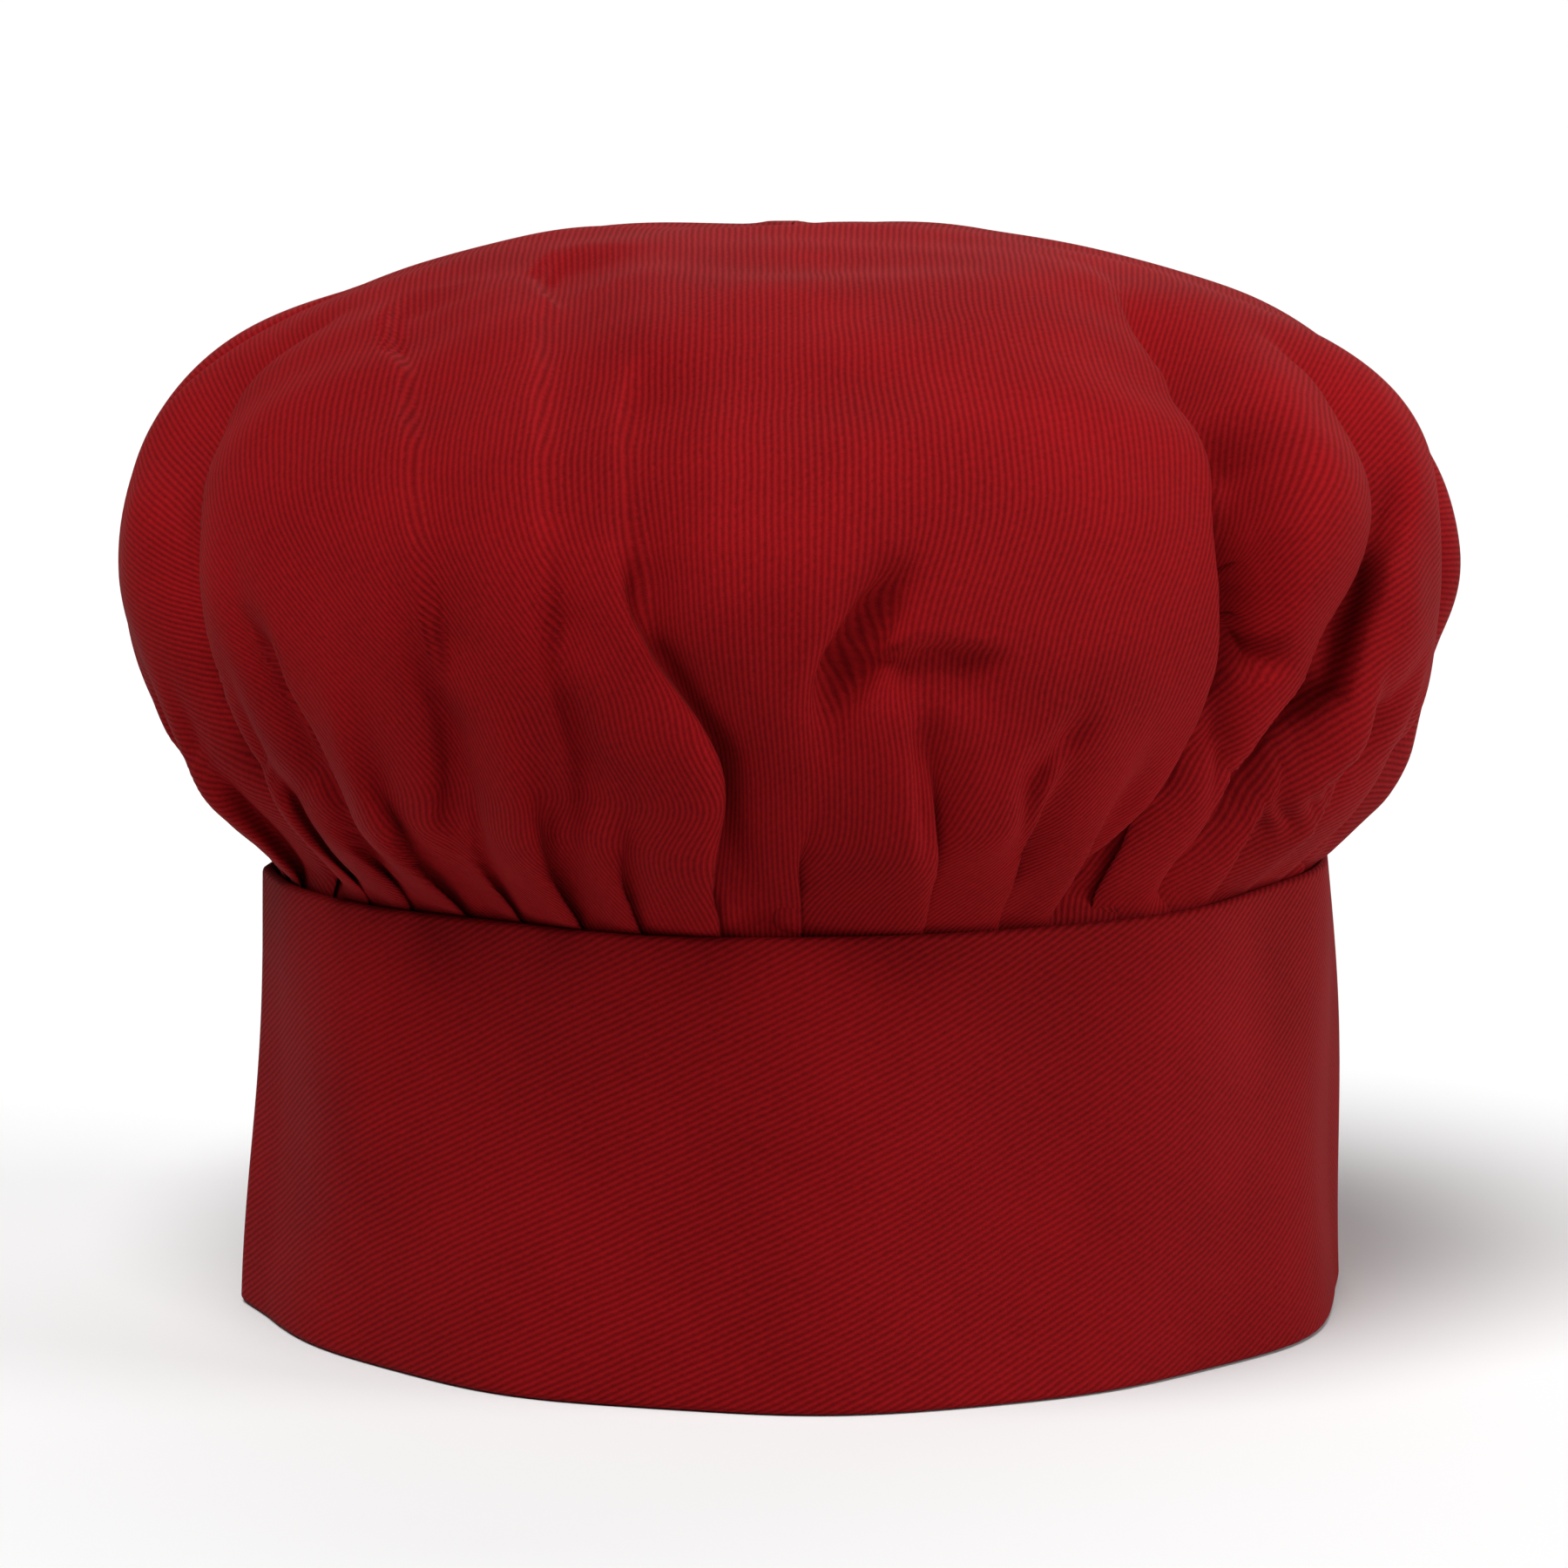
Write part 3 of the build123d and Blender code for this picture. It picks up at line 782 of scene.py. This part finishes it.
def open_slit(piece):
    """Takes out the cloth between the two bound edges of the slit."""
    shape = bmesh.new()
    shape.from_mesh(piece.data)
    cut = []
    for face in shape.faces:
        place = face.calc_center_median()
        if place.y > 0 and abs(place.x) < SLIT_HALF and place.z < SLIT_TOP - 1 * mm:
            cut.append(face)
    bmesh.ops.delete(shape, geom=cut, context="FACES")
    shape.to_mesh(piece.data)
    shape.free()


def add_bake_map(piece):
    """Lays the flat cloth out in the unit square for baking."""
    values = values_of(piece.data.uv_layers["Cloth"].data, "uv", 2)
    bake = piece.data.uv_layers.new(name="OFBake")
    reach = 2.04 * (FLAT_RADIUS + band_top - turn_in_bottom)
    bake.data.foreach_set("uv", (values / reach + 0.5).ravel())


# ------ band
PRESS_CREASES = [radians(-84), radians(96)]  # the hat was folded flat along these
BAND_STATIONS = 440
CREASE_RISE = 1.6 * mm
BESIDE_CREASE = 1.5 * mm  # how far the band falls in on both sides of a crease
PULL_DEPTH = 1.5 * mm  # of the hollow low at the front, towards the right
# Waves of slack: height and length in millimetres, how far they lean, and where they start
SLACK = (
    (0.8, 84.0, 30.0, 0.0),
    (0.5, 51.0, -26.0, 1.3),
    (0.45, 118.0, 61.0, 2.1),
)


def band_sway(angle, height):
    """How far the band's soft walls stand off the CAD band: creases and slack, none at the closure."""
    signed = from_front(angle)
    near_front = 1 - smooth(radians(104), radians(124), np.abs(signed))
    sway = np.zeros(np.broadcast(angle, height).shape)
    for crease in PRESS_CREASES:
        away = np.abs(signed - crease)
        sway += CREASE_RISE * np.clip(1 - away / radians(9), 0, 1) ** 1.6
        sway -= BESIDE_CREASE * bell(radians(38), radians(20), away) * near_front
    level = height / band_top
    slant = signed * mid_radius * 0.45
    for size, length, lean, start in SLACK:
        turned = signed * mid_radius / (length * mm) * 2 * pi + level * lean / 10 + start
        sway += size * mm * np.sin(turned) * near_front
    pull = bell(radians(22), radians(13), signed + slant) * bell(0.28, 0.25, level)
    return sway - PULL_DEPTH * pull * near_front


def ply_section(low, high, bottom, top, outside=44, inside=14, bend=4):
    """A ply folded under a stiffener, from one top edge to the other: stand-off, height, length of cloth."""
    half, middle = (high - low) / 2, (high + low) / 2

    def bend_points(first, last, height, steps):
        a = np.radians(np.linspace(first, last, steps + 1))
        return np.stack([middle + half * np.cos(a), height + half * np.sin(a)], 1)

    def wall(stand_off, start, end, steps):
        return np.stack([np.full(steps, stand_off), np.linspace(start, end, steps + 1)[1:]], 1)

    parts = [
        bend_points(90, 0, top - half, bend),
        wall(high, top - half, bottom + half, outside),
        bend_points(0, -180, bottom + half, 2 * bend)[1:],
        wall(low, bottom + half, top - half, inside),
        bend_points(180, 90, top - half, bend)[1:],
    ]
    line = np.concatenate(parts)
    return line[:, 0], line[:, 1], lengths_along(line)


def folded_strip(name, angles, section, material, sway, faces_off=None, corner=0.0):
    """A folded ply carried round the band through the angles, closed to a rounded end at both of them."""
    off, height, length = section
    low, high = float(off.min()), float(off.max())
    middle, half = (low + high) / 2, (high - low) / 2
    centre = (height.min() + height.max()) / 2
    rim = np.minimum(angles - angles[0], angles[-1] - angles) * mid_radius
    closing = np.sqrt(np.clip(1 - np.clip(1 - rim / half, 0, 1) ** 2, 0, 1))
    inset = np.zeros_like(rim)
    if corner:
        inset = corner - np.sqrt(np.clip(corner**2 - np.clip(corner - rim, 0, None) ** 2, 0, None))
    tall = (height.max() - height.min()) / 2
    z = centre + (height[None] - centre) * (1 - inset[:, None] / tall)
    stand = middle + (off[None] - middle) * closing[:, None]
    if faces_off is not None:
        stand = faces_off(angles[:, None], stand)
    radius = foot_radius - band_lean * z + stand + sway(angles[:, None], z)
    points = on_hat(angles[:, None], radius, z)
    along = np.broadcast_to((angles * mid_radius)[:, None], radius.shape)
    across = np.broadcast_to((height.max() - length)[None], radius.shape)
    faces = grid_faces(len(angles), len(off))
    return mesh_piece(name, points, faces, np.stack([along, across], -1), material)


def end_stations(first, last, count, half):
    """Angles from first to last, closer together where the ends are rounded."""
    ends = half / mid_radius * (1 - np.cos(np.radians(np.linspace(0, 90, 5))))
    middle = np.linspace(first + ends[-1], last - ends[-1], count)
    return np.concatenate([first + ends[:-1], middle, (last - ends[:-1])[::-1]])


def band_pieces():
    """The band's cloth, one ply folded up with its ends at the back, and the stiffener inside it."""
    first, last = -pi + half_gap, pi - half_gap
    angles = end_stations(first, last, BAND_STATIONS, band_wall / 2)
    section = ply_section(-band_wall, 0.0, 0.0, band_top)
    piece = folded_strip("band_cloth", angles, section, band_cloth, band_sway)
    for vertex in piece.data.vertices:
        share = vertex.co.z / band_top
        angle = atan2(vertex.co.x, -vertex.co.y)
        vertex.co.z -= (band_top - float(seam_height(angle))) * max(0.0, share) ** 3
    takes_place(piece, "hat", "band_twill", "band_shell")

    gap = 0.65 * mm
    core = ply_section(-band_wall + gap, -gap, 1.2 * mm, band_top - 3 * mm, 20, 20, 2)
    angles = end_stations(first + 0.01, last - 0.01, BAND_STATIONS // 2, gap)
    core_piece = folded_strip("band_stiffener", angles, core, stiffener_felt, band_sway)
    takes_place(core_piece, "hat", "interfacing", "band_interfacing")


# ------ slit at the back
BINDING_HALF = 1.25 * mm  # half the thickness of the crown's edge with its binding
BINDING_INNER = 1.0 * mm  # from the middle of the slit to the binding's folded edge


def binding_section(outer):
    """The binding's section across one edge: places away from the slit's middle, and off the cloth."""
    bend = np.radians(np.linspace(-90, 90, 9))
    bend_x = BINDING_INNER + BINDING_HALF * (1 - np.cos(bend))
    flat_x = np.linspace(outer, BINDING_INNER + BINDING_HALF, 7)[:-1]
    flat_off = np.full(len(flat_x), BINDING_HALF)
    tuck_x = np.array([outer - 0.3 * mm, outer])
    tuck_off = BINDING_HALF - np.array([0.6 * mm, 0.25 * mm])
    x = np.concatenate([tuck_x, flat_x, bend_x, flat_x[::-1], tuck_x[::-1]])
    off = np.concatenate([-tuck_off, -flat_off, BINDING_HALF * np.sin(bend), flat_off, tuck_off[::-1]])
    return x, off


def slit_piece():
    """Binding folded round both edges of the slit."""
    heights, radii = cad_side()
    low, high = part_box("slit_binding")
    z = np.linspace(float(low[2]) + 0.3 * mm, SLIT_TOP, 34)
    radius = np.interp(z, heights, radii) - CAD_WALL / 2
    tangent = np.stack([np.gradient(radius), np.gradient(z)], 1)
    tangent /= np.linalg.norm(tangent, axis=1, keepdims=True)
    x, off = binding_section(float(high[0]))
    length = lengths_along(np.stack([x, off], 1))
    run = lengths_along(np.stack([radius, z], 1))
    depth = radius[:, None] + off[None] * tangent[:, 1:2]
    level = z[:, None] - off[None] * tangent[:, 0:1]
    flat = np.stack(np.broadcast_arrays(run[:, None], length[None]), -1).reshape(-1, 2)
    points, faces = [], []
    for number, side in enumerate((-1, 1)):
        across = np.broadcast_to(side * x[None], depth.shape)
        y = np.sqrt(np.clip(depth**2 - across**2, 0, None))
        points.append(np.stack([across, y, level], -1).reshape(-1, 3))
        faces.append(grid_faces(len(z), len(x), number * depth.size, flip=side < 0))
    flats = np.concatenate([flat, flat])
    piece = mesh_piece("slit_tape", np.concatenate(points), np.concatenate(faces), flats, binding_cloth)
    takes_place(piece, "hat", "binding_twill", "slit_binding")


STIFFENER_GAP = 0.1 * mm  # between the tab's stiffener and the CAD solid's faces
STIFFENER_INSET = 1.0 * mm  # of the tab's stiffener from the CAD solid's top and bottom edges


def tab_pieces():
    """The tab's cloth in one piece from its sewn root to its tip, and the stiffener inside it."""
    root = span("tab_root")
    tab = span("closure_tab")
    core = span("tab_interfacing")
    angles = end_stations(root.first, tab.last, 110, (tab.high - tab.low) / 2)
    section = ply_section(tab.low, tab.high, tab.bottom, tab.top, 36, 18)
    middle = (tab.low + tab.high) / 2

    def sewn_down(angle, stand):
        """Brings the root's underside down to the band."""
        near_root = 1 - smooth(root.last - 0.01, root.last + 0.03, angle)
        under = np.clip((middle - stand) / (middle - tab.low), 0, 1)
        return stand - (tab.low - root.low) * near_root * under

    def slack(angle, z):
        """A soft wave in the free part of the tab."""
        free = smooth(tab.first + 0.08, tab.first + 0.3, angle)
        free = free * (1 - smooth(tab.last - 0.1, tab.last, angle))
        return 0.12 * mm * np.sin(angle * 31 + z / band_top * 5) * free

    piece = folded_strip("tab_cloth", angles, section, band_cloth, slack, sewn_down, corner=2.5 * mm)
    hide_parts("closure_tab", "tab_root")
    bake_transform(piece)

    faces = (core.low + STIFFENER_GAP, core.high - STIFFENER_GAP)
    edges = (core.bottom + STIFFENER_INSET, core.top - STIFFENER_INSET)
    section = ply_section(*faces, *edges, 12, 12, 2)
    ends = (core.first + 2.6 * mm / mid_radius, core.last - 2 * mm / mid_radius)
    angles = end_stations(*ends, 50, 0.3 * mm)
    stiffener = folded_strip("tab_stiffener", angles, section, stiffener_felt, slack)
    takes_place(stiffener, "tab", "interfacing", "tab_interfacing")


TAPE_MESH = 0.45 * mm  # between a tape's points
HOOK_SPACING = (1.35 * mm, 1.8 * mm)  # along and across the tape


def tape_piece(name, node, body, inwards, relief):
    """A strip of hook or loop tape with its own relief, its edges dipping to what it is sewn on."""
    at = span(node)
    base, face = (at.high, at.low) if inwards else (at.low, at.high)
    columns = int((at.last - at.first) * mid_radius / TAPE_MESH)
    rows = int((at.top - at.bottom) / TAPE_MESH)
    turn = np.linspace(at.first, at.last, columns)
    rise = np.linspace(at.bottom, at.top, rows)
    angles, heights = np.meshgrid(turn, rise, indexing="ij")
    along = (angles - at.first) * mid_radius
    across = heights - at.bottom
    to_edge = np.minimum.reduce([along, along[-1, 0] - along, across, across[0, -1] - across])
    edge = smooth(-0.1 * mm, 0.7 * mm, to_edge)
    woven = smooth(1.2 * mm, 1.9 * mm, to_edge)
    stand = base + (face - base) * edge * (0.55 + 0.45 * woven * relief(along, across))
    points = on_hat(angles, foot_radius - band_lean * heights + stand, heights)
    faces = grid_faces(columns, rows, flip=not inwards)
    piece = mesh_piece(name, points, faces, np.stack([along, across], -1), fastener_tape)
    takes_place(piece, body, "fastener", node)


def matted_loops(along, across):
    """Heights from 0 to 1 of a field of matted loops."""
    random = np.random.default_rng(11)
    field = random.random(along.shape)
    field = (field + np.roll(field, 1, 0) + np.roll(field, 1, 1) + np.roll(field, (1, 1), (0, 1))) / 4
    return np.clip(0.5 + (field - field.mean()) * 2.4, 0, 1)


def rows_of_hooks(along, across):
    """Heights from 0 to 1 of rows of stubby hooks."""
    knobs = np.sin(along / HOOK_SPACING[0] * 2 * pi) * np.sin(across / HOOK_SPACING[1] * 2 * pi)
    return np.clip(knobs, 0, 1) ** 0.7


# ------ thread
def islands(node):
    """The vertices of each of a node's separate boxes."""
    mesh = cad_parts[node].data
    unique, index = np.unique(np.round(vertices_of(node), 6), axis=0, return_inverse=True)
    starts, ends = index.reshape(-1)[values_of(mesh.edges, "vertices", 2, np.int32)].T
    label = np.arange(len(unique))
    while True:
        lower = label.copy()
        np.minimum.at(lower, starts, label[ends])
        np.minimum.at(lower, ends, label[starts])
        if np.array_equal(lower, label):
            return [unique[label == one] for one in np.unique(label)]
        label = lower


STITCH_STEPS = 9  # points along a stitch, and round it
STITCH_DIP = 0.55  # how far its ends dip, as a share of its half thickness
STITCH_GAP = 7.0 * mm  # on the flat thread, between one stitch and the next


def thread_piece(node, body, inside=False):
    """Rounded stitches in place of a node's boxes, each arched and dipping into the cloth at its ends."""
    lengthwise = np.linspace(-1, 1, STITCH_STEPS)
    turned = np.linspace(0, 2 * pi, STITCH_STEPS)
    along, around = np.meshgrid(lengthwise, turned, indexing="ij")
    girth = np.clip(1 - np.abs(along) ** 5, 0, 1) ** 0.5
    points, flats, faces = [], [], []
    for number, box in enumerate(islands(node)):
        centre = box.mean(0)
        ways = np.linalg.svd(box - centre)[2]
        long_way, wide_way, out = ways
        size = [np.ptp((box - centre) @ way) / 2 for way in ways]
        outward = np.array([centre[0], centre[1], 0.0])
        if (out @ outward < 0) != inside:
            out = -out
        if np.cross(long_way, wide_way) @ out < 0:
            wide_way = -wide_way
        rise = size[2] * (np.sin(around) * girth - STITCH_DIP * along**2)
        place = centre + (along * size[0])[..., None] * long_way
        place = place + (np.cos(around) * girth * size[1])[..., None] * wide_way + rise[..., None] * out
        points.append(place.reshape(-1, 3))
        run = along * size[0] + number * STITCH_GAP
        flats.append(np.stack([run, around / (2 * pi)], -1).reshape(-1, 2))
        faces.append(grid_faces(STITCH_STEPS, STITCH_STEPS, number * along.size))
    points, faces, flats = (np.concatenate(parts) for parts in (points, faces, flats))
    name = node.replace("_stitches", "") + "_thread"
    piece = mesh_piece(name, points, faces, flats, sewing_thread)
    takes_place(piece, body, "thread", node)


# ------ care label
LABEL_CURL = 1.6 * mm


def label_piece():
    """The blank satin label inside the band, hanging from the seam with a slight curl."""
    low, high = (np.array(corner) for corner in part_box("care_label"))
    points = vertices_of("care_label")
    radii = radius_of(points)
    angles = angle_of(points)
    columns, rows = 24, 40
    turns = np.linspace(angles.min(), angles.max(), columns)
    turn, height = np.meshgrid(turns, np.linspace(low[2], high[2], rows), indexing="ij")
    drop = (high[2] - height) / (high[2] - low[2])
    curl = LABEL_CURL * drop**2 * (0.4 + np.cos((turn - turn.mean()) / np.ptp(turn) * 4))
    radius = radii.mean() - curl
    along = (turn - turn[0, 0]) * radii.mean()
    flats = np.stack([along, height - low[2]], -1)
    points = on_hat(turn, radius, height)
    piece = mesh_piece("care_label_satin", points, grid_faces(columns, rows), flats, label_satin)
    takes_place(piece, "hat", "label", "care_label")


# ------ studio
FLOOR_REACH = 30.0
FLOOR_DROP = 0.2 * mm  # under the hat
FLOOR_GREY = 0.66
WORLD_LIGHT = 0.13
LIGHTS = (  # where each shines from, its strength and its spread in degrees
    ("key", (-0.3, -0.6, 1.5), 3.8, 34),
    ("fill", (1.3, -0.3, 0.45), 2.1, 30),
    ("rim", (0.3, 1.1, 0.9), 0.9, 60),
)
LIT_PLACE = Vector((0, 0, 0.1))
CAMERA_PLACE = (-0.0025, -1.25, 0.2767)
CAMERA_DIP = 8.52  # degrees below level
CAMERA_LENS = 167.1
CAMERA_SENSOR = 36.0


def studio():
    """A plain pale floor, a soft key light from the upper left, two weaker lights, and the camera."""
    scene = bpy.context.scene
    floor_mesh = bpy.data.meshes.new("floor")
    sides = ((-1, -1), (1, -1), (1, 1), (-1, 1))
    corners = [(x * FLOOR_REACH, y * FLOOR_REACH, -FLOOR_DROP) for x, y in sides]
    floor_mesh.from_pydata(corners, [], [(0, 1, 2, 3)])
    floor = bpy.data.objects.new("floor", floor_mesh)
    scene.collection.objects.link(floor)
    paint = Nodes("floor_paint")
    paint.shader.inputs["Base Color"].default_value = (FLOOR_GREY, FLOOR_GREY, FLOOR_GREY, 1)
    floor_mesh.materials.append(paint.finish(0.9, 0.1))

    world = bpy.data.worlds.new("studio")
    world.use_nodes = True
    background = world.node_tree.nodes["Background"]
    background.inputs["Color"].default_value = (1, 1, 1, 1)
    background.inputs["Strength"].default_value = WORLD_LIGHT
    scene.world = world

    for name, place, strength, spread in LIGHTS:
        light = bpy.data.lights.new(name, "SUN")
        light.energy = strength
        light.angle = radians(spread)
        lamp = bpy.data.objects.new(name, light)
        lamp.rotation_euler = (LIT_PLACE - Vector(place)).to_track_quat("-Z", "Y").to_euler()
        scene.collection.objects.link(lamp)

    camera = bpy.data.cameras.new("camera")
    camera.sensor_width = CAMERA_SENSOR
    camera.lens = CAMERA_LENS
    eye = bpy.data.objects.new("camera", camera)
    eye.location = CAMERA_PLACE
    eye.rotation_euler = (radians(90 - CAMERA_DIP), 0, 0)
    scene.collection.objects.link(eye)
    scene.camera = eye
    scene.view_settings.view_transform = "Standard"


crown_piece()
band_pieces()
slit_piece()
tab_pieces()
tape_piece("loop_tape", "loop_strip", "hat", False, matted_loops)
tape_piece("hook_tape", "hook_strip", "tab", True, rows_of_hooks)
for node in ("band_end_stitches", "slit_stitches", "loop_stitches", "tab_root_stitches", "slit_bartack"):
    thread_piece(node, "hat")
for node in ("crown_seam_stitches", "crown_overlock"):
    thread_piece(node, "hat", inside=True)
for node in ("tab_edge_stitches", "hook_stitches"):
    thread_piece(node, "tab")
label_piece()
studio()
